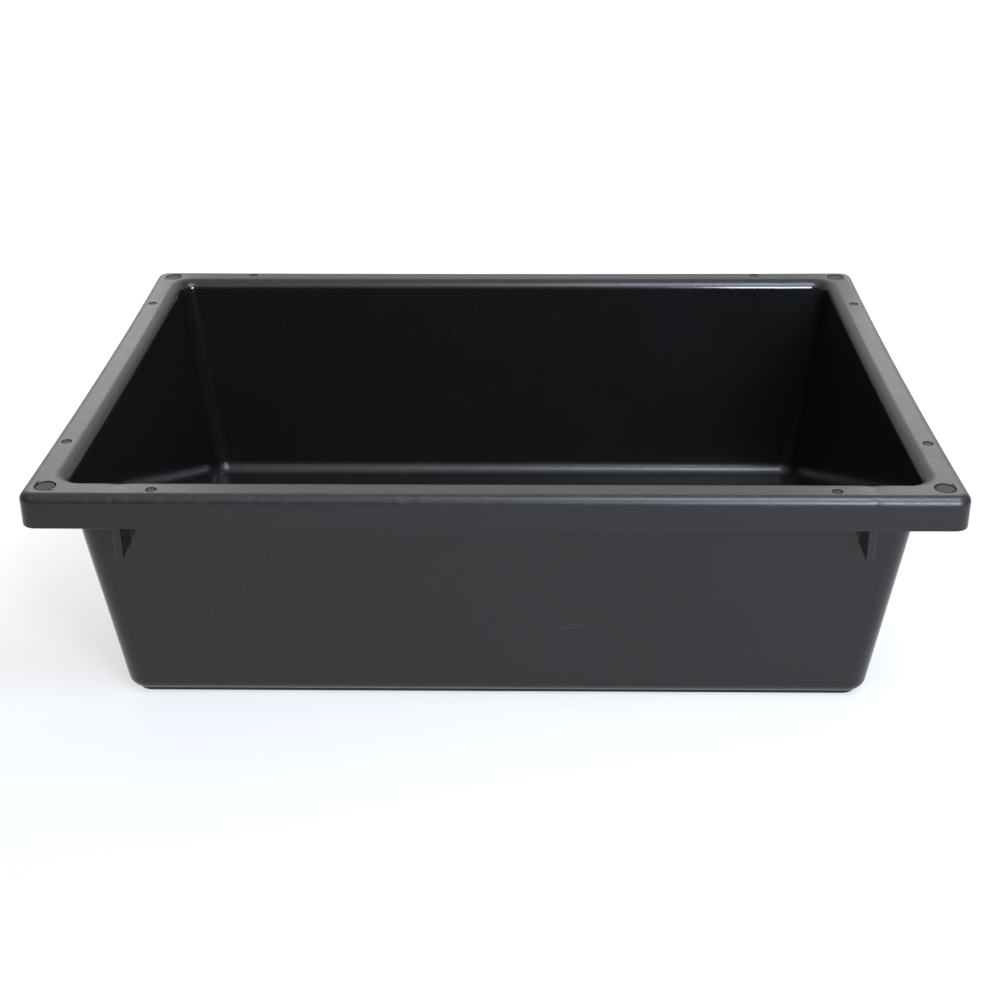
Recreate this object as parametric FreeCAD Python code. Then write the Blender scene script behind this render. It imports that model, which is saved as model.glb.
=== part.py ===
import FreeCAD, Part

import os

# Rectangular mortar mixing tub: one injection-moulded shell with a flat rim, a turned-down skirt, stacking
# ribs under the rim and low foot rails under the floor. The shell is divided into named regions that meet
# face to face. The origin is on the ground under the middle of the tub. X runs along the length, Y to the
# back and Z up. All sizes are in millimetres. An inset is measured inwards from the rim's outer edge.

# Overall size
RIM_LENGTH = 700.0
RIM_WIDTH = 520.0
TUB_HEIGHT = 204.0

# Walls and floor
WALL_THICKNESS = 2.7
WALL_SLOPE = 0.126  # sideways per unit of height, about 7 degrees
OPENING_INSET = 28.6  # to the inner wall, measured at the top of the rim
INNER_CORNER_RADIUS = 14.0
INNER_TOE_RADIUS = 12.0
OUTER_TOE_RADIUS = 11.0
LIP_RADIUS = 10.0  # the bend from wall to deck, which keeps the wall's thickness
FOOT_HEIGHT = 2.5

# Rim
SKIRT_HEIGHT = 27.0  # from the top of the rim down
SKIRT_THICKNESS = 3.0
RIM_CORNER_RADIUS = 12.0
RIM_EDGE_RADIUS = 7.0
SKIRT_EDGE_RADIUS = 1.0

# Stacking ribs
RIB_THICKNESS = 5.5
RIB_REACH_DOWN = 55.0  # from the top of the rim, which is also the pitch of a stack
RIB_FRONT_INSET = 3.0
RIB_END_RADIUS = 2.6

# Lengths that the corner regions take from each side, measured from the rim's outer edge
CORNER_ZONE = 68.5  # walls, and the ribs stand against this line
DECK_CORNER = 42.5  # rim deck

# Round ejector-pin marks sunk into the rim
CORNER_MARK_DIAMETER = 16.0
CORNER_MARK_INSET = 18.0
SIDE_MARK_DIAMETER = 8.0
SIDE_MARK_INSET = 12.0
SIDE_MARK_FROM_CORNER = 98.0
MARK_DEPTH = 0.5

# Foot rails
FOOT_INSET = 57.5
FOOT_WIDTH = 8.0
FOOT_CORNER_RADIUS = 12.0

# Worked out from the sizes above
HALF_LENGTH = RIM_LENGTH / 2
HALF_WIDTH = RIM_WIDTH / 2
FLOOR_TOP = FOOT_HEIGHT + WALL_THICKNESS
DECK_UNDERSIDE = TUB_HEIGHT - WALL_THICKNESS
SKIRT_BOTTOM = TUB_HEIGHT - SKIRT_HEIGHT
RIB_BOTTOM = TUB_HEIGHT - RIB_REACH_DOWN
BEND_INSET = OPENING_INSET - LIP_RADIUS  # the flat deck ends and the bend starts
BEND_BOTTOM = TUB_HEIGHT - LIP_RADIUS  # the bend ends and the wall starts
ZONE_X = HALF_LENGTH - CORNER_ZONE
ZONE_Y = HALF_WIDTH - CORNER_ZONE

BEYOND = 50.0  # how far cutting tools run past the tub
TOLERANCE = 0.001


def inner_inset(height):
    return OPENING_INSET + (TUB_HEIGHT - height) * WALL_SLOPE


def outer_inset(height):
    return inner_inset(height) - WALL_THICKNESS


def rectangle(inset, height):
    x = HALF_LENGTH - inset
    y = HALF_WIDTH - inset
    corners = [(-x, -y), (x, -y), (x, y), (-x, y), (-x, -y)]
    return Part.makePolygon([FreeCAD.Vector(cx, cy, height) for cx, cy in corners])


def block(x_range, y_range, z_range):
    low = FreeCAD.Vector(x_range[0], y_range[0], z_range[0])
    return Part.makeBox(x_range[1] - x_range[0], y_range[1] - y_range[0], z_range[1] - z_range[0], low)


def upright_edges(solid):
    return [edge for edge in solid.Edges if edge.BoundBox.ZLength > TOLERANCE]


def level_edges(solid, height):
    return [
        edge
        for edge in solid.Edges
        if edge.BoundBox.ZLength < TOLERANCE and abs(edge.BoundBox.ZMin - height) < TOLERANCE
    ]


def tapered_block(low_inset, low, high_inset, high, corner_radius):
    solid = Part.makeLoft([rectangle(low_inset, low), rectangle(high_inset, high)], True, True)
    return solid.makeFillet(corner_radius, upright_edges(solid))


def make_rim():
    """The deck over the whole opening, with its skirt round the outside."""
    outside = tapered_block(0.0, SKIRT_BOTTOM, 0.0, TUB_HEIGHT, RIM_CORNER_RADIUS)
    outside = outside.makeFillet(RIM_EDGE_RADIUS, level_edges(outside, TUB_HEIGHT))
    outside = outside.makeFillet(SKIRT_EDGE_RADIUS, level_edges(outside, SKIRT_BOTTOM))
    channel_radius = RIM_CORNER_RADIUS - SKIRT_THICKNESS
    channel = tapered_block(SKIRT_THICKNESS, SKIRT_BOTTOM, SKIRT_THICKNESS, DECK_UNDERSIDE, channel_radius)
    return outside.cut(channel)


def make_basin():
    """The solid outside shape of the walls and floor, up to the deck."""
    solid = tapered_block(
        outer_inset(FOOT_HEIGHT),
        FOOT_HEIGHT,
        outer_inset(DECK_UNDERSIDE),
        DECK_UNDERSIDE,
        INNER_CORNER_RADIUS + WALL_THICKNESS,
    )
    return solid.makeFillet(OUTER_TOE_RADIUS, level_edges(solid, FOOT_HEIGHT))


def make_cavity():
    """The space inside the tub, which runs on above the rim."""
    above = TUB_HEIGHT + BEYOND
    solid = tapered_block(inner_inset(FLOOR_TOP), FLOOR_TOP, inner_inset(above), above, INNER_CORNER_RADIUS)
    return solid.makeFillet(INNER_TOE_RADIUS, level_edges(solid, FLOOR_TOP))


def loop_within(solid, height, inset):
    """The level edges at a height that lie at an inset or further inwards."""
    return [
        edge
        for edge in level_edges(solid, height)
        if abs(edge.CenterOfMass.x) < HALF_LENGTH - inset + TOLERANCE
        and abs(edge.CenterOfMass.y) < HALF_WIDTH - inset + TOLERANCE
    ]


def make_body(rim, basin):
    """Rim and basin in one, not hollowed yet, with the bend's rounding under the deck."""
    body = rim.fuse(basin).removeSplitter()
    roots = loop_within(body, DECK_UNDERSIDE, outer_inset(DECK_UNDERSIDE))
    return body.makeFillet(LIP_RADIUS - WALL_THICKNESS, roots)


def make_shell(body, cavity):
    """The whole moulding without its ribs and foot rails, with the rounded lip round the opening."""
    shell = body.cut(cavity)
    return shell.makeFillet(LIP_RADIUS, loop_within(shell, TUB_HEIGHT, OPENING_INSET))


def mark_places():
    """Centre and diameter of every ejector-pin mark."""
    places = []
    for sx in (-1, 1):
        for sy in (-1, 1):
            corner = (sx * (HALF_LENGTH - CORNER_MARK_INSET), sy * (HALF_WIDTH - CORNER_MARK_INSET))
            long_side = (sx * (HALF_LENGTH - SIDE_MARK_FROM_CORNER), sy * (HALF_WIDTH - SIDE_MARK_INSET))
            short_side = (sx * (HALF_LENGTH - SIDE_MARK_INSET), sy * (HALF_WIDTH - SIDE_MARK_FROM_CORNER))
            places.append((corner, CORNER_MARK_DIAMETER))
            places.append((long_side, SIDE_MARK_DIAMETER))
            places.append((short_side, SIDE_MARK_DIAMETER))
    return places


def sink_marks(shell):
    for (x, y), diameter in mark_places():
        base = FreeCAD.Vector(x, y, TUB_HEIGHT - MARK_DEPTH)
        shell = shell.cut(Part.makeCylinder(diameter / 2, BEYOND, base))
    return shell


def floor_region(shell):
    return shell.common(block((-ZONE_X, ZONE_X), (-ZONE_Y, ZONE_Y), (0.0, FLOOR_TOP)))


def side_blocks(heights, straight):
    """One block on each side of the tub, which ends where the corner blocks start."""
    x, y = straight
    return {
        "front": block((-x, x), (-HALF_WIDTH, -y), heights),
        "back": block((-x, x), (y, HALF_WIDTH), heights),
        "left": block((-HALF_LENGTH, -x), (-y, y), heights),
        "right": block((x, HALF_LENGTH), (-y, y), heights),
    }


def corner_blocks(heights, straight):
    """One block on each corner of the tub."""
    x, y = straight
    blocks = {}
    for y_name, y_range in (("front", (-HALF_WIDTH, -y)), ("back", (y, HALF_WIDTH))):
        for x_name, x_range in (("left", (-HALF_LENGTH, -x)), ("right", (x, HALF_LENGTH))):
            blocks[f"{y_name}_{x_name}"] = block(x_range, y_range, heights)
    return blocks


def inside_inset(inset, heights):
    x = HALF_LENGTH - inset
    y = HALF_WIDTH - inset
    return block((-x, x), (-y, y), heights)


def behind_skirt(heights):
    """The space inside the skirt and its corners, which the walls and floor lie in."""
    return inside_inset(RIM_CORNER_RADIUS, heights)


def wall_regions(shell):
    """Walls and wall corners, from the toe at the floor up to the bend."""
    heights = (FOOT_HEIGHT, BEND_BOTTOM)
    walls = shell.common(behind_skirt(heights))
    regions = {}
    for side, tool in side_blocks(heights, (ZONE_X, ZONE_Y)).items():
        regions[f"{side}_wall"] = walls.common(tool)
    for corner, tool in corner_blocks(heights, (ZONE_X, ZONE_Y)).items():
        regions[f"{corner}_wall_corner"] = walls.common(tool)
    return regions


def deck_regions(shell):
    """Flat rim decks, the lips that bend down to the walls, and rim corners, which have both."""
    heights = (BEND_BOTTOM, TUB_HEIGHT)
    x_range, y_range = (-HALF_LENGTH, HALF_LENGTH), (-HALF_WIDTH, HALF_WIDTH)
    decks = shell.common(block(x_range, y_range, (DECK_UNDERSIDE, TUB_HEIGHT)).fuse(behind_skirt(heights)))
    lips = inside_inset(BEND_INSET, heights)
    straight_x = HALF_LENGTH - DECK_CORNER
    straight_y = HALF_WIDTH - DECK_CORNER
    regions = {}
    for side, tool in side_blocks(heights, (straight_x, straight_y)).items():
        regions[f"{side}_rim_deck"] = decks.common(tool).cut(lips)
        regions[f"{side}_lip"] = decks.common(tool).common(lips)
    for corner, tool in corner_blocks(heights, (straight_x, straight_y)).items():
        regions[f"{corner}_rim_corner"] = decks.common(tool)
    return regions


def skirt_regions(shell):
    """Turned-down skirts and their rounded corners."""
    heights = (SKIRT_BOTTOM, DECK_UNDERSIDE)
    straight = (HALF_LENGTH - RIM_CORNER_RADIUS, HALF_WIDTH - RIM_CORNER_RADIUS)
    regions = {}
    for side, tool in side_blocks(heights, straight).items():
        regions[f"{side}_skirt"] = shell.common(tool)
    for corner, tool in corner_blocks(heights, straight).items():
        regions[f"{corner}_skirt_corner"] = shell.common(tool)
    return regions


def rib_plate(half_span):
    """An upright plate across the front channel at x = 0, with its lower end rounded."""
    across = (-RIB_THICKNESS / 2, RIB_THICKNESS / 2)
    reach = (-half_span + RIB_FRONT_INSET, -half_span + CORNER_ZONE)
    plate = block(across, reach, (RIB_BOTTOM, DECK_UNDERSIDE))
    lower_edges = level_edges(plate, RIB_BOTTOM)
    long_edges = [edge for edge in lower_edges if edge.Length > RIB_THICKNESS + TOLERANCE]
    return plate.makeFillet(RIB_END_RADIUS, long_edges)


def rib_regions(body):
    """Two stacking ribs on each side, next to the corner zones, between the wall and the skirt."""
    side_turns = (
        ("front", 0, HALF_WIDTH, ZONE_X, ("left", "right")),
        ("right", 90, HALF_LENGTH, ZONE_Y, ("front", "back")),
        ("back", 180, HALF_WIDTH, ZONE_X, ("right", "left")),
        ("left", 270, HALF_LENGTH, ZONE_Y, ("back", "front")),
    )
    regions = {}
    for side, turn, half_span, zone, ends in side_turns:
        for end, direction in zip(ends, (-1, 1)):
            plate = rib_plate(half_span)
            plate.translate(FreeCAD.Vector(direction * (zone - RIB_THICKNESS / 2), 0, 0))
            plate.rotate(FreeCAD.Vector(0, 0, 0), FreeCAD.Vector(0, 0, 1), turn)
            regions[f"{side}_rib_{end}"] = plate.cut(body)
    return regions


def foot_regions(basin):
    """Low rails round the underside that carry the tub. The long ones carry the corners."""
    top = FOOT_HEIGHT + OUTER_TOE_RADIUS / 2
    ring_inset = FOOT_INSET + FOOT_WIDTH
    outside = tapered_block(FOOT_INSET, 0.0, FOOT_INSET, top, FOOT_CORNER_RADIUS)
    inside = tapered_block(ring_inset, 0.0, ring_inset, top, FOOT_CORNER_RADIUS - FOOT_WIDTH)
    ring = outside.cut(inside).cut(basin)
    end = HALF_WIDTH - FOOT_INSET - FOOT_CORNER_RADIUS
    tools = {
        "front": block((-HALF_LENGTH, HALF_LENGTH), (-HALF_WIDTH, -end), (0.0, top)),
        "back": block((-HALF_LENGTH, HALF_LENGTH), (end, HALF_WIDTH), (0.0, top)),
        "left": block((-HALF_LENGTH, 0.0), (-end, end), (0.0, top)),
        "right": block((0.0, HALF_LENGTH), (-end, end), (0.0, top)),
    }
    return {f"{side}_foot_rail": ring.common(tool) for side, tool in tools.items()}


def largest_solid(shape):
    return max(shape.Solids, key=lambda solid: solid.Volume)


def main():
    os.makedirs("parts", exist_ok=True)
    basin = make_basin()
    body = make_body(make_rim(), basin)
    shell = sink_marks(make_shell(body, make_cavity()))
    regions = {"floor_panel": floor_region(shell)}
    regions.update(wall_regions(shell))
    regions.update(deck_regions(shell))
    regions.update(skirt_regions(shell))
    regions.update(rib_regions(body))
    regions.update(foot_regions(basin))
    for name, shape in regions.items():
        largest_solid(shape).exportStep(f"parts/{name}.step")
        print(name, len(shape.Solids), shape.isValid(), round(shape.Volume))
    print("shell", round(shell.Volume), "regions", round(sum(shape.Volume for shape in regions.values())))


main()
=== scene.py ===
import math

import bpy
import numpy as np
from mathutils import Matrix, Vector, noise


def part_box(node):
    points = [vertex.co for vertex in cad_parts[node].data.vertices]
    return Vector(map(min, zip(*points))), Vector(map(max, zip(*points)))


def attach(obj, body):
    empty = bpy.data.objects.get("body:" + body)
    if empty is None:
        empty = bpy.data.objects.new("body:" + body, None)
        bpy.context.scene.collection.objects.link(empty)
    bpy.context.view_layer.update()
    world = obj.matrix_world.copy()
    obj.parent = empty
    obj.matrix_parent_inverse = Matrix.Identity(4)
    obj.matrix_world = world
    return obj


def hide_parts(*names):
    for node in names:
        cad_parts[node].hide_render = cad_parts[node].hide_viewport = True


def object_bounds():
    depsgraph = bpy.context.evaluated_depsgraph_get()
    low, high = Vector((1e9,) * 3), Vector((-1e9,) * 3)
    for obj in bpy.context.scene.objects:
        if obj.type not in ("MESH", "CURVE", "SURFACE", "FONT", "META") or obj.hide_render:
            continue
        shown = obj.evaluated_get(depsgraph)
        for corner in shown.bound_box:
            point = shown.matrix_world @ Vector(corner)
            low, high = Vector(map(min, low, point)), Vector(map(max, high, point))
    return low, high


# Looks of the mortar mixing tub. The tub is one black plastic moulding. Its surface is worked out once, as a
# section carried round the tub, and then divided into named regions that meet edge to edge and share their
# shading at the borders. In a section a point is (inset, height), and inset runs inwards from the rim's outer
# edge. A loop round the tub starts on the front side and runs to the right. Everything is in metres.

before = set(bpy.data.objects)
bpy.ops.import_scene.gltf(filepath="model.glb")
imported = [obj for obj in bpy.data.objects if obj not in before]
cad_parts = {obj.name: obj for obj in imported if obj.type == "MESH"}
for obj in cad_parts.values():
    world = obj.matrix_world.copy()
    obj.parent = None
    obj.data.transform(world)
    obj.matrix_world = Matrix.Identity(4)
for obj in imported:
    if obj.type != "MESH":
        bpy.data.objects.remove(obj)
cad_low, cad_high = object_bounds()

MM = 0.001
FLOOR_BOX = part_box("floor_panel")
SKIRT_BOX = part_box("front_skirt")

# Sizes that the frame gives
HALF_LENGTH = cad_high.x
HALF_WIDTH = cad_high.y
RIM_TOP = cad_high.z
SKIRT_BOTTOM = SKIRT_BOX[0].z
DECK_UNDERSIDE = SKIRT_BOX[1].z
SKIRT_THICKNESS = SKIRT_BOX[1].y - SKIRT_BOX[0].y
FLOOR_UNDERSIDE = FLOOR_BOX[0].z
FLOOR_TOP = FLOOR_BOX[1].z
ZONE_X = FLOOR_BOX[1].x
ZONE_Y = FLOOR_BOX[1].y
FOOT_INSET = HALF_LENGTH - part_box("front_foot_rail")[1].x

# Section of the walls and the rim
WALL_THICKNESS = RIM_TOP - DECK_UNDERSIDE
WALL_SLOPE = 0.126
SLANT = math.hypot(1.0, WALL_SLOPE)
SLANT_ANGLE = math.degrees(math.atan(WALL_SLOPE))
OPENING_INSET = 28.6 * MM
INNER_CORNER = 14 * MM
OUTER_CORNER = INNER_CORNER + WALL_THICKNESS
RIM_CORNER = 12 * MM
INNER_TOE = 12 * MM
OUTER_TOE = 11 * MM
LIP = 10 * MM
RIM_EDGE = 7 * MM
SKIRT_EDGE = 1 * MM
CHANNEL_FILLET = LIP - WALL_THICKNESS  # so that the bend keeps the wall's thickness
CHANNEL_EDGE = 3 * MM  # between the deck and the skirt, underneath
SEAM_BELOW_RIM = 12 * MM  # where a wall region ends and a rim region starts
HOLD = 0.4 * MM  # a flat stretch keeps a row this close to the bends beside it

# Rows of the grid, in the order of the section. Outside, the wall and the toe take as many as inside.
TOE_STEPS = 12
WALL_STEPS = 14
LIP_STEPS = 12
DECK_ROWS = 32
RIM_EDGE_STEPS = 12
SKIRT_STEPS = 6
SKIRT_EDGE_STEPS = 5
SKIRT_INSIDE_STEPS = 4
CHANNEL_EDGE_STEPS = 4
UNDER_DECK_STEPS = 6
CHANNEL_STEPS = 8

# Columns of the grid
CORNER_STEPS = 24
TRANSITION_STEPS = 10  # between a zone line and the corner's arc
TRANSITION_GROWTH = 1.5  # so that the steps beside a rib are the short ones
LONG_STEP = 8 * MM
SHORT_STEP = 4 * MM
FINE_STEP = 1 * MM
FINE_RUN = 12 * MM  # of fine steps, up to the zone line

# Round ejector-pin marks sunk into the rim
MARK_DEPTH = 0.5 * MM
SIDE_MARK_RADIUS = 4 * MM
SIDE_MARK_INSET = 12 * MM
SIDE_MARK_FROM_CORNER = 98 * MM
CORNER_MARK_RADIUS = 8 * MM
CORNER_MARK_INSET = 18 * MM
MARK_RINGS = 12
MARK_STEP = 0.45 * MM
MARK_FLOOR_RINGS = (0.0, 0.4, 0.75)  # of the mark's radius
MARK_FLOOR_DEPTH = 0.8  # share of the depth
MARK_FLOOR_MATT = 0.5
MARK_EDGE_RINGS = (  # mm past the edge, share of depth, how matt
    (-0.75, 0.8, 0.5),
    (-0.45, 1.5, 1.0),
    (-0.1, 1.5, 1.0),
    (0.02, 0.3, 1.0),
    (0.3, 0.0, 0.0),
)
MARK_BLEND = 1 * MM  # how much wider the round rings get while they turn back into square ones

# How much the moulding is rubbed, from smoother than plain to most rubbed
INSIDE_WEAR = -0.3
DECK_WEAR = 0.5
FLOOR_WEAR = 0.8
BEND_WEAR = 0.8  # the lip and the toe
EDGE_WEAR = 1.0  # the rim's outer edge and the skirt's lower edge
SMOOTH_LIP_ROWS = 3  # start of the lip's bend, as smooth as the wall below

# Stacking ribs
RIB_TOP = RIM_TOP - 0.75 * WALL_THICKNESS  # inside the deck
RIB_ROOT_FILLET = 0.8 * MM
RIB_ROOT_DEPTH = WALL_THICKNESS / 4  # inside the wall
RIB_EDGE = 0.9 * MM
RIB_EDGE_STEPS = 6
RIB_END_STEPS = 16
RIB_FRONT_INSET = 2.7 * MM

# Foot rails
FOOT_WIDTH = 8 * MM
FOOT_CORNER = 12 * MM
FOOT_EDGE = 0.6 * MM
FOOT_EDGE_STEPS = 4
FOOT_TOP = FLOOR_UNDERSIDE + WALL_THICKNESS / 2  # inside the floor
FOOT_SHARP_ANGLE = 50

# How the moulding has pulled as it cooled. Waves have a height, and about so many swells to a metre.
BOW_SIDES = 3.0 * MM
BOW_BACK = 2.4 * MM
SINK_DEPTH = 0.6 * MM  # over the front ribs
SINK_SHARE = 0.25  # of that on the other sides
SINK_REACH = 6 * MM
SKIRT_SINK = 0.4 * MM  # in front of the front ribs
SKIRT_SINK_REACH = 2.5 * MM
WALL_WAVES = 0.35 * MM
WALL_WAVES_PER_METRE = 7.0
RIPPLE_SHARE = 0.4  # of the wall's waves
RIPPLES_PER_METRE = 19.0
RIM_WAVES = 0.12 * MM
RIM_WAVES_PER_METRE = 15.0
DECK_WAVES_PER_METRE = 24.0
DECK_WAVES_LEVEL = 3.0  # where the random field is cut
FLOOR_WAVES = 0.3 * MM
FLOOR_WAVES_PER_METRE = 8.0
FLOOR_WAVES_LEVEL = 9.0
FLOOR_STILL_EDGE = 0.1  # over which the floor's waves rise
FLOOR_REACH_UP = 1 * MM  # heights up to here above the floor count as floor

# Plastic
PLASTIC_IOR = 1.45
PLASTIC_DARK = (0.0044, 0.0041, 0.0042)
PLASTIC_LIGHT = (0.0059, 0.0055, 0.0056)
PLASTIC_SCUFF = (0.07, 0.07, 0.072)
SCRATCH_COLOUR_SHARE = 0.22
RUB_COLOUR_SHARE = 0.1
NOISE_MIDDLE = (0.3, 0.7)  # where nearly all of a noise's values lie
BLOTCH_MIDDLE = (0.35, 0.65)
MOTTLE_PER_METRE = 11.0
BLOTCHES_PER_METRE = 60.0
STREAKS_PER_METRE = (170.0, 170.0, 5.0)
GRAIN_PER_METRE = 1500.0
PEBBLES_PER_METRE = 420.0
RUBS_PER_METRE = 130.0
SPECKS_PER_METRE = 130.0
SPECK_EDGE = (0.05, 0.02)
SPECK_CHANCE = (0.975, 0.98)
SCRATCH_FIELDS = (  # per metre along three axes, turn of the axes, patches per metre in which they show
    ((900.0, 26.0, 900.0), (0.3, 0.2, 0.5), 9.0),
    ((22.0, 800.0, 700.0), (0.1, 0.5, -0.4), 12.0),
    ((700.0, 700.0, 24.0), (0.5, -0.3, 0.0), 15.0),
)
SCRATCH_CUT = (0.735, 0.785)  # the part of the noise that shows, as with the other cuts
SCRATCH_PATCH_CUT = (0.58, 0.69)
RUB_CUT = (0.5, 0.72)
RUB_FROM_WEAR = 0.6
ROUGHNESS_RANGE = (0.165, 0.19)
BLOTCH_ROUGHNESS = 0.01
STREAK_ROUGHNESS = 0.012
RUB_ROUGHNESS = 0.08
WEAR_ROUGHNESS = 0.2
SCRATCH_ROUGHNESS = 0.1
MATT_ROUGHNESS = 0.4
SPECULAR_PLAIN = 0.5
SPECULAR_MATT = 0.15
GRAIN_RELIEF = 0.5
SCRATCH_RELIEF = 0.8
STREAK_RELIEF = 0.15
RELIEF_STRENGTH = 0.5
RELIEF_DISTANCE = 0.02 * MM

# Studio. The sky changes with the x, y and z of the direction it is seen in, between the ends of each range.
WHITE = (1.0, 1.0, 1.0)
SKY_LEVEL = 1.5
SKY_LOW = 0.4  # share of the level that is left at the horizon
SKY_LOW_RANGE = (0.2, 0.5)
SKY_TOP = 0.78  # share that is left overhead
SKY_TOP_RANGE = (0.5, 0.75)
SKY_EDGES = 0.5  # share that is left far out to the sides
SKY_EDGES_RANGE = (0.3, 0.55)
SKY_FRONT = 0.25  # share that is left low down in front, where the room is dark
SKY_FRONT_RANGE = (0.05, 0.6)
SKY_BEHIND_RANGE = (-0.4, 0.0)  # over which the dark in front ends
FLOOR_REACH = 20.0
FLOOR_COLOUR = (0.25, 0.25, 0.25)
FLOOR_ROUGHNESS = 0.9
# The table's glow is painted light: emission that stands in for lamplight on the floor and fills its shadows
FLOOR_PAINTED_GLOW = 0.56
GLOW_NEAR = -0.56  # the table's painted glow fades out in front, from here
GLOW_FAR = -1.3  # to here
GLOW_LEFT = 0.4  # where this share is left
GLOW_BEHIND = 1.5  # and the painted glow is this much brighter behind the tub
AIM = (0.1, 0.0, RIM_TOP)
KEY_PLACE = (0.7, -1.45, 0.72)
KEY_SIZE = (0.55, 0.45)
KEY_POWER = 34.0
TOP_PLACE = (0.52, -0.72, 1.55)
TOP_SIZE = (0.85, 0.5)
TOP_POWER = 28.0
LIGHT_COLOUR = (0.72, 0.83, 1.0)
CARD_PLACE = (1.05, 1.2, 0.7)
CARD_SIZE = (1.0, 0.8)
CARD_POWER = 3.5
CAMERA_PLACE = (0.02658, -1.32174, 0.72597)
CAMERA_LENS = 58.62
CAMERA_SENSOR = 36.0
CAMERA_CLIP = (0.05, 100.0)
CAMERA_PITCH = 26.239
CAMERA_YAW = 1.141
CAMERA_ROLL = -0.332

# In the order of the loops. A corner follows its side, and a side's ribs stand before and after its middle.
SIDES = ("front", "right", "back", "left")
CORNERS = ("front_right", "back_right", "back_left", "front_left")
RIB_NAMES = {
    "front": ("front_rib_left", "front_rib_right"),
    "right": ("right_rib_front", "right_rib_back"),
    "back": ("back_rib_right", "back_rib_left"),
    "left": ("left_rib_back", "left_rib_front"),
}


def inner_line(height):
    return OPENING_INSET + (RIM_TOP - height) * WALL_SLOPE


def outer_line(height):
    return inner_line(height) - WALL_THICKNESS


def arc(centre, radius, first, last, steps):
    """Points of an arc, with angles in degrees from the inset axis."""
    for step in range(steps + 1):
        angle = math.radians(first + (last - first) * step / steps)
        yield centre[0] + radius * math.cos(angle), centre[1] + radius * math.sin(angle)


def straight(start, end, steps):
    """Points between two ends, both ends left out, with one held close to each end."""
    hold = HOLD / math.dist(start, end)
    for step in range(steps + 1):
        share = hold + (1 - 2 * hold) * step / steps
        yield start[0] + (end[0] - start[0]) * share, start[1] + (end[1] - start[1]) * share


def section():
    """Rows (inset, height, corner radius) from the floor's edge over the rim to the underside's edge.

    Also gives the numbers of the rows where the regions and the wear change.
    """
    rows = []
    places = {}

    def inner(points):
        rows.extend((i, z, INNER_CORNER + inner_line(z) - i) for i, z in points)

    def outer(points):
        rows.extend((i, z, OUTER_CORNER + outer_line(z) - i) for i, z in points)

    def rim(points):
        rows.extend((i, z, RIM_CORNER - i) for i, z in points)

    def between(end, steps):
        start = rows[-1]
        for step in range(1, steps):
            share = step / steps
            rows.append(tuple(a + (b - a) * share for a, b in zip(start, end)))

    seam = RIM_TOP - SEAM_BELOW_RIM
    toe_centre = (inner_line(FLOOR_TOP + INNER_TOE) + INNER_TOE * SLANT, FLOOR_TOP + INNER_TOE)
    inner(arc(toe_centre, INNER_TOE, -90, SLANT_ANGLE - 180, TOE_STEPS))
    inner(straight(rows[-1][:2], (inner_line(seam), seam), WALL_STEPS))
    places["inner_seam"] = len(rows) - 1
    lip_height = RIM_TOP - LIP
    lip_centre = (inner_line(lip_height) - LIP * SLANT, lip_height)
    inner(arc(lip_centre, LIP, SLANT_ANGLE, 90, LIP_STEPS))
    places["deck"] = len(rows) - 1
    between((RIM_EDGE, RIM_TOP, RIM_CORNER - RIM_EDGE), DECK_ROWS)
    rim(arc((RIM_EDGE, RIM_TOP - RIM_EDGE), RIM_EDGE, 90, 180, RIM_EDGE_STEPS))
    rim(straight((0.0, RIM_TOP - RIM_EDGE), (0.0, SKIRT_BOTTOM + SKIRT_EDGE), SKIRT_STEPS))
    rim(arc((SKIRT_EDGE, SKIRT_BOTTOM + SKIRT_EDGE), SKIRT_EDGE, 180, 270, SKIRT_EDGE_STEPS))
    places["skirt_bottom"] = len(rows) - 1
    inside_edge = (SKIRT_THICKNESS - SKIRT_EDGE, SKIRT_BOTTOM + SKIRT_EDGE)
    rim(arc(inside_edge, SKIRT_EDGE, 270, 360, SKIRT_EDGE_STEPS))
    channel = (SKIRT_THICKNESS + CHANNEL_EDGE, DECK_UNDERSIDE - CHANNEL_EDGE)
    rim(straight(rows[-1][:2], (SKIRT_THICKNESS, channel[1]), SKIRT_INSIDE_STEPS))
    rim(arc(channel, CHANNEL_EDGE, 180, 90, CHANNEL_EDGE_STEPS))
    root_height = DECK_UNDERSIDE - CHANNEL_FILLET
    root = (outer_line(root_height) - CHANNEL_FILLET * SLANT, root_height)
    root_points = list(arc(root, CHANNEL_FILLET, 90, SLANT_ANGLE, CHANNEL_STEPS))
    first_inset, first_height = root_points[0]
    first_corner = OUTER_CORNER + outer_line(first_height) - first_inset
    between((first_inset, first_height, first_corner), UNDER_DECK_STEPS)
    outer(root_points)
    outer(straight(rows[-1][:2], (outer_line(seam), seam), 1))
    places["outer_seam"] = len(rows) - 1
    toe_height = FLOOR_UNDERSIDE + OUTER_TOE
    toe_centre = (outer_line(toe_height) + OUTER_TOE * SLANT, toe_height)
    outer_toe = list(arc(toe_centre, OUTER_TOE, 180 + SLANT_ANGLE, 270, TOE_STEPS))
    outer(straight((outer_line(seam), seam), outer_toe[0], WALL_STEPS))
    outer(outer_toe)
    return rows, places


def evenly(start, end, step):
    """Positions from start, which is left out, to end."""
    count = max(1, math.ceil((end - start) / step))
    return [start + (end - start) * index / count for index in range(1, count + 1)]


def half_stations(zone, mark):
    """Positions along half a straight side, from its middle to the zone line, closer at a mark and a rib."""
    patch = MARK_RINGS * MARK_STEP
    return (
        evenly(0.0, mark - patch, LONG_STEP)
        + evenly(mark - patch, mark + patch, MARK_STEP)
        + evenly(mark + patch, zone - FINE_RUN, SHORT_STEP)
        + evenly(zone - FINE_RUN, zone, FINE_STEP)
    )


def both_ways(half):
    return [-position for position in reversed(half)] + [0.0] + half


def half_sizes(quarter):
    """Half of the tub's size along a side, and half of its size across."""
    return (HALF_LENGTH, HALF_WIDTH) if quarter % 2 == 0 else (HALF_WIDTH, HALF_LENGTH)


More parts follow.
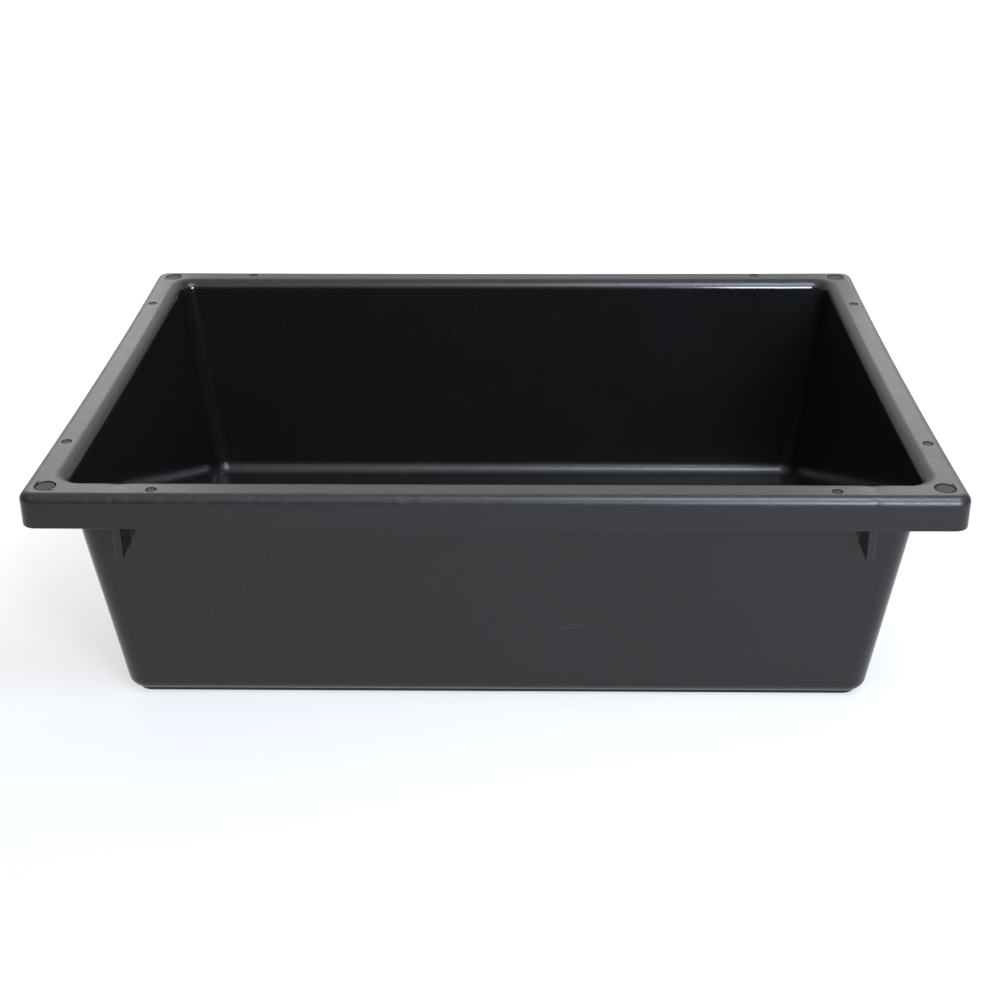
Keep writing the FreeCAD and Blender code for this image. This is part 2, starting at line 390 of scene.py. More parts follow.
def nearest(values, wanted):
    """The place in a list of the value nearest to the one wanted."""
    return min(range(len(values)), key=lambda index: abs(values[index] - wanted))


class Side:
    """One straight side of every loop: its stations, its ribs, and where its columns start in a loop."""

    def __init__(self, quarter, first_column):
        self.quarter = quarter
        self.half_run, self.half_across = half_sizes(quarter)
        zone = ZONE_X if quarter % 2 == 0 else ZONE_Y
        self.mark = self.half_run - SIDE_MARK_FROM_CORNER
        rib_ends = [self.local(corner.x, corner.y)[0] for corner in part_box(RIB_NAMES[SIDES[quarter]][1])]
        self.rib = sum(rib_ends) / 2
        self.rib_half_thickness = abs(rib_ends[1] - rib_ends[0]) / 2
        self.stations = both_ways(half_stations(zone, self.mark))
        self.first = first_column + TRANSITION_STEPS
        self.last = self.first + len(self.stations) - 1
        self.corner_middle = self.last + TRANSITION_STEPS + CORNER_STEPS // 2
        self.columns = len(self.stations) + 2 * TRANSITION_STEPS + CORNER_STEPS - 1

    def column_at(self, along):
        return self.first + nearest(self.stations, along)

    def along_and_out(self, inset, corner):
        """(along, outwards) of this side's points at an inset, then those of the corner that follows it."""
        straight_end = self.half_run - inset - corner
        out = self.half_across - inset
        zone = self.stations[-1]
        shares = [(step / TRANSITION_STEPS) ** TRANSITION_GROWTH for step in range(1, TRANSITION_STEPS + 1)]
        run_on = [zone + (straight_end - zone) * share for share in shares]
        points = [(along, out) for along in [-a for a in reversed(run_on)] + self.stations + run_on]
        for step in range(1, CORNER_STEPS):
            angle = math.radians(90 * step / CORNER_STEPS)
            points.append((straight_end + corner * math.sin(angle), out - corner + corner * math.cos(angle)))
        return points

    def place(self, along, out, height):
        return turned(self.quarter * 90, along, out, height)

    def local(self, x, y):
        """(along, outwards) of a place on the plan."""
        angle = math.radians(self.quarter * 90)
        return x * math.cos(angle) + y * math.sin(angle), x * math.sin(angle) - y * math.cos(angle)


def turned(angle, along, out, height):
    """A point on the front side, given along and outwards, turned with its side to where it belongs."""
    cosine = round(math.cos(math.radians(angle)), 12)  # rounded, so that a quarter turn is exact
    sine = round(math.sin(math.radians(angle)), 12)
    return (along * cosine + out * sine, along * sine - out * cosine, height)


def make_sides():
    sides = []
    for quarter in range(4):
        sides.append(Side(quarter, sum(side.columns for side in sides)))
    return sides


def make_grid(rows, sides):
    """The moulding's surface as rows x columns of points."""
    grid = []
    for inset, height, corner in rows:
        loop = []
        for side in sides:
            loop += [side.place(along, out, height) for along, out in side.along_and_out(inset, corner)]
        grid.append(loop)
    return np.array(grid)


def square_angle(outwards, along):
    """The angle of a step on a square ring of the grid, so that its points come out evenly round a circle."""
    if abs(along) >= abs(outwards):
        return (0.0 if along > 0 else math.pi) + math.pi / 4 * outwards / along
    return (math.pi / 2 if outwards > 0 else -math.pi / 2) - math.pi / 4 * along / outwards


def sink_mark(grid, matt, row, column, centre, radius, angle):
    """Turns the square rings of the grid round one point into the rings of a round mark, and sinks it."""
    tangent = np.array(turned(angle, 1.0, 0.0, 0.0))
    outward = np.array(turned(angle, 0.0, 1.0, 0.0))
    rings = [(share * radius, MARK_FLOOR_DEPTH, MARK_FLOOR_MATT) for share in MARK_FLOOR_RINGS]
    rings += [(radius + past * MM, depth, dull) for past, depth, dull in MARK_EDGE_RINGS]
    blend_rings = MARK_RINGS - len(rings) + 1
    before = grid.copy()
    for row_step in range(-MARK_RINGS, MARK_RINGS + 1):
        for column_step in range(-MARK_RINGS, MARK_RINGS + 1):
            ring = max(abs(row_step), abs(column_step))
            if ring == MARK_RINGS:
                continue
            turn = square_angle(row_step, column_step) if ring else 0.0
            direction = tangent * math.cos(turn) + outward * math.sin(turn)
            place = (row + row_step, column + column_step)
            if ring < len(rings):
                reach, depth, dull = rings[ring]
                grid[place] = np.array(centre) + direction * reach
                grid[place][2] -= depth * MARK_DEPTH
                matt[place] = dull
            else:
                share = (ring - len(rings) + 1) / blend_rings
                circle = np.array(centre) + direction * (rings[-1][0] + share * MARK_BLEND)
                grid[place] = circle + (before[place] - circle) * share


def sink_marks(grid, rows, places, sides):
    """Sinks every mark into the grid. Gives how matt each of the grid's points is."""
    matt = np.zeros(grid.shape[:2])
    deck = places["deck"]
    deck_insets = [row[0] for row in rows[deck : deck + DECK_ROWS + 1]]
    side_row = deck + nearest(deck_insets, SIDE_MARK_INSET)
    corner_row = deck + DECK_ROWS // 2
    for side in sides:
        angle = side.quarter * 90
        for along in (-side.mark, side.mark):
            centre = side.place(along, side.half_across - SIDE_MARK_INSET, RIM_TOP)
            sink_mark(grid, matt, side_row, side.column_at(along), centre, SIDE_MARK_RADIUS, angle)
        centre = side.place(side.half_run - CORNER_MARK_INSET, side.half_across - CORNER_MARK_INSET, RIM_TOP)
        sink_mark(grid, matt, corner_row, side.corner_middle, centre, CORNER_MARK_RADIUS, angle + 45)
    return matt.reshape(-1)


def smooth(value, start, end):
    """0 up to start, 1 from end on, with a soft change between."""
    share = min(1.0, max(0.0, (value - start) / (end - start)))
    return share * share * (3 - 2 * share)


def waves(x, y, z, per_metre):
    """Slow random waves between about -1 and 1."""
    return noise.noise(Vector((x, y, z)) * per_metre)


def near_rib(side, along, reach):
    """1 in line with a side's two stacking ribs, and 0 well beyond a reach from them."""
    return math.exp(-(((abs(along) - side.rib) / reach) ** 2))


def sink_over_ribs(side, along, inset):
    """How far the deck has sunk over a side's two stacking ribs, most near the opening."""
    over_rib = near_rib(side, along, SINK_REACH) * (1.0 if side.quarter == 0 else SINK_SHARE)
    on_deck = smooth(inset, 0.0, OPENING_INSET) * smooth(-inset, -OPENING_INSET - LIP, -OPENING_INSET)
    return SINK_DEPTH * over_rib * on_deck


def settled(point, sides):
    """Where a point of the plain shape ends up once the moulding has cooled.

    The moves in x and y are worked out as moves outwards, whichever side the point is on.
    """
    x, y, z = (float(value) for value in point)
    height = max(0.0, z / RIM_TOP) ** 2
    across_x, across_y = abs(x) / HALF_LENGTH, abs(y) / HALF_WIDTH
    inset_x, inset_y = HALF_LENGTH - abs(x), HALF_WIDTH - abs(y)
    bow_x = -BOW_SIDES * height * across_x**3 * max(0.0, 1 - across_y**2)
    bow_y = -BOW_BACK * height * across_y**3 * max(0.0, 1 - across_x**2) if y > 0 else 0.0
    inset = min(inset_x, inset_y)
    on_wall = smooth(z, FLOOR_TOP, FLOOR_TOP + 3 * INNER_TOE)
    on_wall *= smooth(-z, -RIM_TOP, -SKIRT_BOTTOM + INNER_TOE)
    on_wall *= smooth(inset, RIM_CORNER, OPENING_INSET - WALL_THICKNESS)
    on_skirt = smooth(-inset, -RIM_EDGE, -SKIRT_THICKNESS)
    wall_waves = waves(x, y, z, WALL_WAVES_PER_METRE) + RIPPLE_SHARE * waves(y, z, x, RIPPLES_PER_METRE)
    push = WALL_WAVES * on_wall * wall_waves
    push -= RIM_WAVES * on_skirt * (1 + waves(x, y, z, RIM_WAVES_PER_METRE)) / 2
    if y < 0 and inset_y < inset_x:
        push -= SKIRT_SINK * on_skirt * near_rib(sides[0], x, SKIRT_SINK_REACH)
    turn = math.pi / 2 * smooth(inset_x - inset_y, -INNER_CORNER, INNER_CORNER)
    move_x = bow_x + push * math.cos(turn)
    move_y = bow_y + push * math.sin(turn)
    on_deck = smooth(z, RIM_TOP - LIP, RIM_TOP - RIM_EDGE / 2)
    move_z = -RIM_WAVES * on_deck * (1 + waves(x, y, DECK_WAVES_LEVEL, DECK_WAVES_PER_METRE)) / 2
    for side in sides:
        along, out = side.local(x, y)
        move_z -= on_deck * sink_over_ribs(side, along, side.half_across - out)
    if z < FLOOR_TOP + FLOOR_REACH_UP:
        middle = smooth(ZONE_X - abs(x), 0.0, FLOOR_STILL_EDGE)
        middle *= smooth(ZONE_Y - abs(y), 0.0, FLOOR_STILL_EDGE)
        move_z += FLOOR_WAVES * middle * waves(x, y, FLOOR_WAVES_LEVEL, FLOOR_WAVES_PER_METRE)
    return x + math.copysign(1.0, x) * move_x, y + math.copysign(1.0, y) * move_y, z + move_z


def settle(points, sides):
    flat = points.reshape(-1, 3)
    return np.array([settled(point, sides) for point in flat]).reshape(points.shape)


def shell_faces(row_count, column_count):
    """Quads between every two rows, as flat vertex numbers, facing out of the plastic."""
    for row in range(row_count - 1):
        for column in range(column_count):
            beside = (column + 1) % column_count
            here, there = row * column_count, (row + 1) * column_count
            yield (here + column, here + beside, there + beside, there + column)[::-1]


def coarse_picks(side):
    """Which stations of a side a flat panel uses: its ends, its middle, and others a long step apart."""
    middle = len(side.stations) // 2
    chosen = [middle]
    for index in range(middle + 1, len(side.stations) - 1):
        far_enough = side.stations[index] - side.stations[chosen[-1]] > LONG_STEP - MM
        if far_enough and side.stations[-1] - side.stations[index] > LONG_STEP / 2:
            chosen.append(index)
    chosen.append(len(side.stations) - 1)
    return [2 * middle - index for index in reversed(chosen[1:])] + chosen


def panel(loop_start, height, sides, points):
    """Faces of a flat panel that fills one loop of the grid. New points are added to points. They face up."""
    front, right = sides[0], sides[1]
    x_picks = coarse_picks(front)
    y_picks = coarse_picks(right)
    first = len(points)
    for y_pick in y_picks:
        for x_pick in x_picks:
            points.append((front.stations[x_pick], right.stations[y_pick], height))
    wide = len(x_picks)

    def inside(x_index, y_index):
        return first + y_index * wide + x_index

    faces = []
    for y_index in range(len(y_picks) - 1):
        for x_index in range(wide - 1):
            corner = inside(x_index, y_index)
            faces.append((corner, corner + 1, corner + 1 + wide, corner + wide))
    edges = (
        [inside(index, 0) for index in range(wide)],
        [inside(wide - 1, index) for index in range(len(y_picks))],
        [inside(index, len(y_picks) - 1) for index in reversed(range(wide))],
        [inside(0, index) for index in reversed(range(len(y_picks)))],
    )
    total = sum(side.columns for side in sides)
    for side, edge in zip(sides, edges):
        picks = x_picks if side.quarter % 2 == 0 else y_picks
        for step, (pick, next_pick) in enumerate(zip(picks, picks[1:])):
            outer = [loop_start + side.first + index for index in range(pick, next_pick + 1)]
            faces.append((*outer, edge[step + 1], edge[step]))
        next_side = sides[(side.quarter + 1) % 4]
        run = (next_side.first - side.last) % total
        outer = [loop_start + (side.last + index) % total for index in range(run + 1)]
        faces.append((*outer, edge[-1]))
    return faces


def vertex_normals(points, faces):
    mesh = bpy.data.meshes.new("whole_moulding")
    mesh.from_pydata([tuple(point) for point in points], [], faces)
    normals = [vertex.vector.copy() for vertex in mesh.vertex_normals]
    bpy.data.meshes.remove(mesh)
    return normals


class Moulding:
    """The whole surface of the tub: its points, their normals, and which of them belong to which row."""

    def __init__(self):
        self.sides = make_sides()
        self.rows, self.places = section()
        grid = make_grid(self.rows, self.sides)
        self.matt = sink_marks(grid, self.rows, self.places, self.sides)
        self.columns = grid.shape[1]
        last_loop = (len(self.rows) - 1) * self.columns
        points = [tuple(point) for point in grid.reshape(-1, 3)]
        self.floor_faces = panel(0, FLOOR_TOP, self.sides, points)
        self.under_faces = [face[::-1] for face in panel(last_loop, FLOOR_UNDERSIDE, self.sides, points)]
        self.points = settle(np.array(points), self.sides)
        faces = list(shell_faces(len(self.rows), self.columns)) + self.floor_faces + self.under_faces
        self.normals = vertex_normals(self.points, faces)

    def number(self, row, column):
        return row * self.columns + column % self.columns


def make_piece(name, moulding, surface, hidden, attributes, replaced):
    """A closed mesh from faces of the moulding and the hidden faces where it meets its neighbours."""
    used = sorted({number for face in surface + hidden for number in face})
    renumbered = {number: index for index, number in enumerate(used)}
    mesh = bpy.data.meshes.new(name)
    faces = [tuple(renumbered[number] for number in face) for face in surface + hidden]
    mesh.from_pydata([tuple(moulding.points[number]) for number in used], [], faces)
    mesh.polygons.foreach_set("use_smooth", [True] * len(surface) + [False] * len(hidden))
    for attribute, value_of in attributes.items():
        layer = mesh.attributes.new(attribute, "FLOAT", "POINT")
        layer.data.foreach_set("value", [value_of(number) for number in used])
    shading = [moulding.normals[number] for face in surface for number in face]
    shading += [(0.0, 0.0, 0.0)] * sum(len(face) for face in hidden)
    mesh.normals_split_custom_set(shading)
    add_piece(name, mesh, replaced)


def add_piece(name, mesh, replaced):
    mesh.materials.append(PLASTIC)
    piece = bpy.data.objects.new(name, mesh)
    bpy.context.scene.collection.objects.link(piece)
    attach(piece, "root")
    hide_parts(*replaced)


def row_wear(row, places):
    """How much a row is rubbed: most at the rim's edge and the skirt's foot, less on the lip and the toe."""
    deck_end = places["deck"] + DECK_ROWS
    if row <= TOE_STEPS:
        return BEND_WEAR
    if row <= places["inner_seam"] + SMOOTH_LIP_ROWS:
        return INSIDE_WEAR
    if row <= places["deck"]:
        return BEND_WEAR
    if row <= deck_end:
        return DECK_WEAR
    if row <= deck_end + RIM_EDGE_STEPS or abs(row - places["skirt_bottom"]) < SKIRT_EDGE_STEPS:
        return EDGE_WEAR
    return 0.0


def make_regions(moulding):
    """The walls, the rims and their corners, and the floor, each as a closed piece."""
    places = moulding.places
    last_row = len(moulding.rows) - 1
    wear_of_row = [row_wear(row, places) for row in range(last_row + 1)]
    shell_points = (last_row + 1) * moulding.columns

    def wear(number):
        return wear_of_row[number // moulding.columns] if number < shell_points else FLOOR_WEAR

    def matt(number):
        return moulding.matt[number] if number < shell_points else 0.0

    attributes = {"wear": wear, "matt": matt}
    wall_rows = [*range(places["inner_seam"] + 1), *range(places["outer_seam"], last_row + 1)]
    rim_rows = [*range(places["inner_seam"], places["outer_seam"] + 1)]
    for side in moulding.sides:
        name = SIDES[side.quarter]
        rim_nodes = [f"{name}_rim_deck", f"{name}_lip", f"{name}_skirt"]
        make_band(moulding, f"{name}_wall", wall_rows, side.first, side.last, attributes, [f"{name}_wall"])
        make_band(moulding, f"{name}_rim", rim_rows, side.first, side.last, attributes, rim_nodes)
        name = CORNERS[side.quarter]
        after = moulding.sides[(side.quarter + 1) % 4].first
        end = after + (moulding.columns if after < side.last else 0)
        rim_nodes = [f"{name}_rim_corner", f"{name}_skirt_corner"]
        wall = f"{name}_wall_corner"
        make_band(moulding, wall, wall_rows, side.last, end, attributes, [wall])
        make_band(moulding, f"{name}_rim", rim_rows, side.last, end, attributes, rim_nodes)
    edge = []
    for column in range(moulding.columns):
        corners = ((0, column), (last_row, column), (last_row, column + 1), (0, column + 1))
        edge.append(tuple(moulding.number(*corner) for corner in corners))
    surface = moulding.floor_faces + moulding.under_faces
    make_piece("floor_moulded", moulding, surface, edge, attributes, ["floor_panel"])


def make_band(moulding, name, cycle, first, last, attributes, replaced):
    """A closed piece from a cycle of rows between two columns. Rows that don't follow on meet unseen."""
    number = moulding.number
    surface = []
    hidden = []
    for row, next_row in zip(cycle, cycle[1:] + cycle[:1]):
        for column in range(first, last):
            a, b = number(row, column), number(row, column + 1)
            c, d = number(next_row, column + 1), number(next_row, column)
            (surface if next_row == row + 1 else hidden).append((d, c, b, a))
    hidden.append(tuple(number(row, first) for row in reversed(cycle)))
    hidden.append(tuple(number(row, last) for row in cycle))
    make_piece(f"{name}_moulded", moulding, surface, hidden, attributes, replaced)


def underside_line(height):
    """The inset of the walls' outer face, which bends outwards to the deck's underside."""
    root_height = DECK_UNDERSIDE - CHANNEL_FILLET
    if height < root_height:
        return outer_line(height)
    rise = min(height - root_height, CHANNEL_FILLET)
    reach = math.sqrt(CHANNEL_FILLET**2 - rise**2)
    return outer_line(root_height) - CHANNEL_FILLET * SLANT + reach


def quarter_turn(steps):
    """Angles from 0 to 90 degrees, in radians."""
    return [math.radians(90 * step / steps) for step in range(steps + 1)]


def rib_outline(half_thickness, low, offset):
    """Points (across, height) of the rib's upright U, grown by an offset."""
    radius = half_thickness + offset
    root_height = DECK_UNDERSIDE - CHANNEL_FILLET
    bend = [root_height + CHANNEL_FILLET * math.sin(angle) for angle in quarter_turn(CHANNEL_STEPS)]
    heights = [RIB_TOP, *reversed(bend), (root_height + low) / 2, low + half_thickness + HOLD]
    points = [(-radius, height) for height in heights]
    points += arc((0.0, low + half_thickness), radius, 180, 360, RIB_END_STEPS)
    return points + [(radius, height) for height in reversed(heights)]


def make_rib(side, direction, sides):
    """An upright rib between wall and skirt, flared where it leaves the wall and rounded at its edge."""
    name = RIB_NAMES[SIDES[side.quarter]][direction > 0]
    half_thickness = side.rib_half_thickness
    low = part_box(name)[0].z
    front = side.half_across - RIB_FRONT_INSET
    rings = [(-RIB_ROOT_DEPTH, RIB_ROOT_FILLET, True)]  # distance outwards, offset, and whether from the wall
    for angle in quarter_turn(RIB_EDGE_STEPS):
        rings.append((RIB_ROOT_FILLET * (1 - math.cos(angle)), RIB_ROOT_FILLET * (1 - math.sin(angle)), True))
    rings.append((RIB_ROOT_FILLET + HOLD, 0.0, True))
    rings.append((-RIB_EDGE - HOLD, 0.0, False))
    for angle in quarter_turn(RIB_EDGE_STEPS):
        rings.append((-RIB_EDGE * (1 - math.sin(angle)), -RIB_EDGE * (1 - math.cos(angle)), False))
    rings.append((0.0, -RIB_EDGE - HOLD, False))
    points = []
    for distance, offset, from_wall in rings:
        for across, height in rib_outline(half_thickness, low, offset):
            start = side.half_across - underside_line(height) if from_wall else front
            points.append(side.place(direction * side.rib + across, start + distance, height))
    count = len(points) // len(rings)
    faces = []
    for ring in range(len(rings) - 1):
        for index in range(count):
            a = ring * count + index
            b = ring * count + (index + 1) % count
            faces.append((a, b, b + count, a + count))
    for start, turn in ((0, -1), ((len(rings) - 1) * count, 1)):
        for index in range(count // 2):
            quad = [start + index, start + index + 1, start + count - 2 - index, start + count - 1 - index]
            if len(set(quad)) == 4:
                faces.append(tuple(quad[::turn]))
            elif len(set(quad)) == 3:
                faces.append(tuple(dict.fromkeys(quad))[::turn])
    points = settle(np.array(points), sides)
    mesh = bpy.data.meshes.new(name)
    mesh.from_pydata([tuple(point) for point in points], [], faces)
    mesh.polygons.foreach_set("use_smooth", [True] * len(faces))
    add_piece(f"{name}_moulded", mesh, [name])


def make_foot_ring():
    """The low rails round the underside, which run on round the corners."""
    profile = [(FOOT_INSET, FOOT_TOP)]
    profile += arc((FOOT_INSET + FOOT_EDGE, FOOT_EDGE), FOOT_EDGE, 180, 270, FOOT_EDGE_STEPS)
    profile += arc((FOOT_INSET + FOOT_WIDTH - FOOT_EDGE, FOOT_EDGE), FOOT_EDGE, 270, 360, FOOT_EDGE_STEPS)
    profile.append((FOOT_INSET + FOOT_WIDTH, FOOT_TOP))
    points = []
    for inset, height in profile:
        radius = FOOT_CORNER - (inset - FOOT_INSET)
        for quarter in range(4):
            half_run, half_across = half_sizes(quarter)
            for angle in quarter_turn(CORNER_STEPS):
                along = half_run - inset - radius + radius * math.sin(angle)
                out = half_across - inset - radius + radius * math.cos(angle)
                points.append(turned(quarter * 90, along, out, height))
    count = len(points) // len(profile)
    faces = []
    for ring in range(len(profile)):
        here = ring * count
        there = (ring + 1) % len(profile) * count
        for index in range(count):
            beside = (index + 1) % count
            faces.append((there + index, there + beside, here + beside, here + index))
    mesh = bpy.data.meshes.new("foot_ring")
    mesh.from_pydata(points, [], faces)
    mesh.shade_smooth()
    mesh.set_sharp_from_angle(angle=math.radians(FOOT_SHARP_ANGLE))
    add_piece("foot_ring_moulded", mesh, [f"{side}_foot_rail" for side in SIDES])


class Wiring:
    """The nodes of a material or of the world, with short ways to add them and to join them."""

    def __init__(self, owner):
        owner.use_nodes = True
        self.nodes = owner.node_tree.nodes
        self.links = owner.node_tree.links

    def node(self, kind, **settings):
        """A new node. Each setting is one of its own properties, or the value of one of its sockets."""
        made = self.nodes.new(kind)
        for key, value in settings.items():
            if hasattr(made, key):
                setattr(made, key, value)
            else:
                made.inputs[key].default_value = value
        return made

    def join(self, start, end):
        self.links.new(start, end)

    def place(self, kind="Object"):
        return self.node("ShaderNodeTexCoord").outputs[kind]

    def parts(self, vector):
        made = self.node("ShaderNodeSeparateXYZ")
        self.join(vector, made.inputs["Vector"])
        return made.outputs

    def noise(self, vector, scale, detail=2.0, rough=0.5):
        made = self.node("ShaderNodeTexNoise", Scale=scale, Detail=detail, Roughness=rough)
        self.join(vector, made.inputs["Vector"])
        return made.outputs["Fac"]

    def ranged(self, value, start, end, to_start=0.0, to_end=1.0, change="SMOOTHSTEP"):
        """Goes from to_start to to_end as the value goes from start to end, and stays there beyond."""
        made = self.node("ShaderNodeMapRange", interpolation_type=change)
        made.inputs["From Min"].default_value = start
        made.inputs["From Max"].default_value = end
        made.inputs["To Min"].default_value = to_start
        made.inputs["To Max"].default_value = to_end
        self.join(value, made.inputs["Value"])
        return made.outputs["Result"]

    def math(self, operation, *values):
        """The result of an operation on numbers or on the outputs of other nodes."""
        made = self.node("ShaderNodeMath", operation=operation)
        for value, socket in zip(values, made.inputs):
            if isinstance(value, (int, float)):
                socket.default_value = value
            else:
                self.join(value, socket)
        return made.outputs["Value"]


def make_plastic():
    """Black polyethylene with a satin moulded skin: grain, streaks, specks, scratches and rubbed edges."""
    material = bpy.data.materials.new("black_plastic")
    wiring = Wiring(material)
    join, ranged, math_of, noise_of = wiring.join, wiring.ranged, wiring.math, wiring.noise
    shader = wiring.nodes["Principled BSDF"]
    shader.inputs["IOR"].default_value = PLASTIC_IOR
    place = wiring.place()

    def stretched(scale, rotation=(0.0, 0.0, 0.0)):
        mapping = wiring.node("ShaderNodeMapping", Scale=scale, Rotation=rotation)
        join(place, mapping.inputs["Vector"])
        return mapping.outputs["Vector"]

    mottle = noise_of(place, MOTTLE_PER_METRE, detail=4.0)
    blotches = noise_of(place, BLOTCHES_PER_METRE, detail=3.0)
    streaks = noise_of(stretched(STREAKS_PER_METRE), 1.0, detail=3.0)
    grain = noise_of(place, GRAIN_PER_METRE)
    pebble = noise_of(place, PEBBLES_PER_METRE)
    scratches = 0.0
    for scale, rotation, patches_per_metre in SCRATCH_FIELDS:
        lines = ranged(noise_of(stretched(scale, rotation), 1.0, detail=1.0), *SCRATCH_CUT)
        patches = ranged(noise_of(place, patches_per_metre), *SCRATCH_PATCH_CUT)
        scratches = math_of("MAXIMUM", scratches, math_of("MULTIPLY", lines, patches))
    cells = wiring.node("ShaderNodeTexVoronoi", Scale=SPECKS_PER_METRE)
    join(place, cells.inputs["Vector"])
    chance = wiring.node("ShaderNodeSeparateColor")
    join(cells.outputs["Color"], chance.inputs["Color"])
    dots = ranged(cells.outputs["Distance"], *SPECK_EDGE)
    specks = math_of("MULTIPLY", dots, ranged(chance.outputs["Red"], *SPECK_CHANCE))
    wear = wiring.node("ShaderNodeAttribute", attribute_name="wear").outputs["Fac"]
    rubs = ranged(noise_of(place, RUBS_PER_METRE, detail=5.0, rough=0.65), *RUB_CUT)
    rubbed = math_of("MULTIPLY", ranged(wear, RUB_FROM_WEAR, EDGE_WEAR), rubs)
    matt = wiring.node("ShaderNodeAttribute", attribute_name="matt").outputs["Fac"]

    base = wiring.node("ShaderNodeMix", data_type="RGBA")
    base.inputs["A"].default_value = (*PLASTIC_DARK, 1.0)
    base.inputs["B"].default_value = (*PLASTIC_LIGHT, 1.0)
    join(mottle, base.inputs["Factor"])
    marked = wiring.node("ShaderNodeMix", data_type="RGBA")
    marked.inputs["B"].default_value = (*PLASTIC_SCUFF, 1.0)
    join(base.outputs["Result"], marked.inputs["A"])
    rubbed_colour = math_of("MULTIPLY", rubbed, RUB_COLOUR_SHARE)
    scuffs = math_of("MAXIMUM", math_of("MULTIPLY", scratches, SCRATCH_COLOUR_SHARE), rubbed_colour)
    join(math_of("MAXIMUM", scuffs, specks), marked.inputs["Factor"])
    join(marked.outputs["Result"], shader.inputs["Base Color"])

    roughness = ranged(mottle, *NOISE_MIDDLE, *ROUGHNESS_RANGE)
    for addition in (
        ranged(blotches, *BLOTCH_MIDDLE, -BLOTCH_ROUGHNESS, BLOTCH_ROUGHNESS),
        ranged(streaks, *NOISE_MIDDLE, -STREAK_ROUGHNESS, STREAK_ROUGHNESS),
        math_of("MULTIPLY", rubbed, RUB_ROUGHNESS),
        math_of("MULTIPLY", wear, WEAR_ROUGHNESS),
        math_of("MULTIPLY", scratches, SCRATCH_ROUGHNESS),
        math_of("MULTIPLY", matt, MATT_ROUGHNESS),
    ):
        roughness = math_of("ADD", roughness, addition)
    join(roughness, shader.inputs["Roughness"])
    join(ranged(matt, 0.0, 1.0, SPECULAR_PLAIN, SPECULAR_MATT), shader.inputs["Specular IOR Level"])

    relief = math_of("ADD", math_of("MULTIPLY", grain, GRAIN_RELIEF), pebble)
    relief = math_of("SUBTRACT", relief, math_of("MULTIPLY", scratches, SCRATCH_RELIEF))
    relief = math_of("ADD", relief, math_of("MULTIPLY", streaks, STREAK_RELIEF))
    bump = wiring.node("ShaderNodeBump", Strength=RELIEF_STRENGTH, Distance=RELIEF_DISTANCE)
    join(relief, bump.inputs["Height"])
    join(bump.outputs["Normal"], shader.inputs["Normal"])
    return material


def make_light(name, location, target, size, power, colour):
    data = bpy.data.lights.new(name, "AREA")
    data.shape = "RECTANGLE"
    data.size, data.size_y = size
    data.energy = power
    data.color = colour
    lamp = bpy.data.objects.new(name, data)
    lamp.location = location
    lamp.rotation_euler = (Vector(target) - Vector(location)).to_track_quat("-Z", "Y").to_euler()
    bpy.context.scene.collection.objects.link(lamp)


def make_sky():
    """A white room: dimmer at the horizon, overhead and far out to the sides, and dark low down in front."""
    world = bpy.data.worlds.new("white_studio")
    wiring = Wiring(world)
    ranged, math_of = wiring.ranged, wiring.math
    direction = wiring.parts(wiring.place("Generated"))
    height = direction["Z"]
    sideways = math_of("ABSOLUTE", direction["X"])
    tall = ranged(height, *SKY_LOW_RANGE, SKY_LEVEL * SKY_LOW, SKY_LEVEL)
    sides = ranged(sideways, *SKY_EDGES_RANGE, 1.0, SKY_EDGES)
    low_front = ranged(height, *SKY_FRONT_RANGE, SKY_FRONT, 1.0)
    behind = ranged(direction["Y"], *SKY_BEHIND_RANGE)
    front = math_of("MAXIMUM", low_front, behind)
    overhead = ranged(height, *SKY_TOP_RANGE, 1.0, SKY_TOP)
    level = math_of("MULTIPLY", math_of("MULTIPLY", tall, sides), math_of("MULTIPLY", overhead, front))
    background = wiring.nodes["Background"]
    background.inputs["Color"].default_value = (*WHITE, 1.0)
    wiring.join(level, background.inputs["Strength"])
    return world


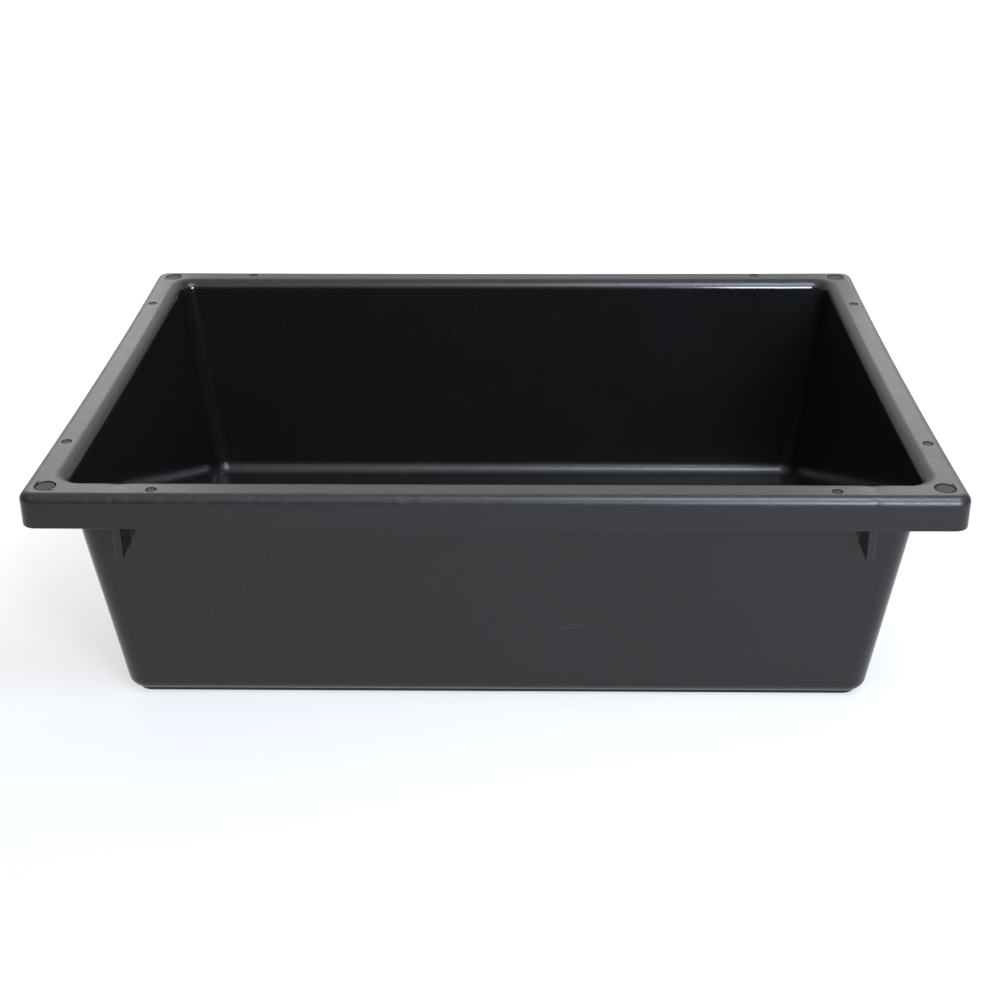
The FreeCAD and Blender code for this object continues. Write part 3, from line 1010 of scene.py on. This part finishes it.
def make_table():
    """A pale table whose glow is painted light, fading out in front as light would and brighter behind the
    tub.
    """
    mesh = bpy.data.meshes.new("studio_floor")
    corners = [(-FLOOR_REACH, -FLOOR_REACH), (FLOOR_REACH, -FLOOR_REACH)]
    corners += [(FLOOR_REACH, FLOOR_REACH), (-FLOOR_REACH, FLOOR_REACH)]
    mesh.from_pydata([(x, y, 0.0) for x, y in corners], [], [(0, 1, 2, 3)])
    paper = bpy.data.materials.new("pale_floor")
    wiring = Wiring(paper)
    shader = wiring.nodes["Principled BSDF"]
    shader.inputs["Base Color"].default_value = (*FLOOR_COLOUR, 1.0)
    shader.inputs["Roughness"].default_value = FLOOR_ROUGHNESS
    shader.inputs["Specular IOR Level"].default_value = 0.0
    # Painted light: the floor's emission stands in for light falling on it and fills in its shadows
    shader.inputs["Emission Color"].default_value = (*WHITE, 1.0)
    depth = wiring.parts(wiring.place())["Y"]
    fade = wiring.ranged(depth, GLOW_FAR, GLOW_NEAR, FLOOR_PAINTED_GLOW * GLOW_LEFT, FLOOR_PAINTED_GLOW)
    behind = wiring.ranged(depth, -HALF_WIDTH, HALF_WIDTH, 1.0, GLOW_BEHIND, "LINEAR")
    wiring.join(wiring.math("MULTIPLY", fade, behind), shader.inputs["Emission Strength"])
    mesh.materials.append(paper)
    floor = bpy.data.objects.new("studio_floor", mesh)
    bpy.context.scene.collection.objects.link(floor)


def make_studio():
    """A table in a white room, with soft lights on the right and above, and a card behind each side."""
    bpy.context.scene.world = make_sky()
    make_table()
    make_light("key", KEY_PLACE, AIM, KEY_SIZE, KEY_POWER, LIGHT_COLOUR)
    make_light("top", TOP_PLACE, AIM, TOP_SIZE, TOP_POWER, LIGHT_COLOUR)
    x, y, z = CARD_PLACE
    for name, place_x in (("left_card", -x), ("right_card", x)):
        make_light(name, (place_x, y, z), (place_x, 0.0, z), CARD_SIZE, CARD_POWER, WHITE)
    bpy.context.scene.view_settings.view_transform = "Standard"


def make_camera():
    data = bpy.data.cameras.new("camera")
    data.lens = CAMERA_LENS
    data.sensor_width = CAMERA_SENSOR
    data.clip_start, data.clip_end = CAMERA_CLIP
    camera = bpy.data.objects.new("camera", data)
    turn = Matrix.Rotation(math.radians(CAMERA_YAW), 4, "Z")
    tilt = Matrix.Rotation(math.radians(90 - CAMERA_PITCH), 4, "X")
    roll = Matrix.Rotation(math.radians(CAMERA_ROLL), 4, "Z")
    camera.matrix_world = Matrix.Translation(CAMERA_PLACE) @ turn @ tilt @ roll
    bpy.context.scene.collection.objects.link(camera)
    bpy.context.scene.camera = camera


PLASTIC = make_plastic()
moulding = Moulding()
make_regions(moulding)
for side in moulding.sides:
    for direction in (-1, 1):
        make_rib(side, direction, moulding.sides)
make_foot_ring()
make_studio()
make_camera()
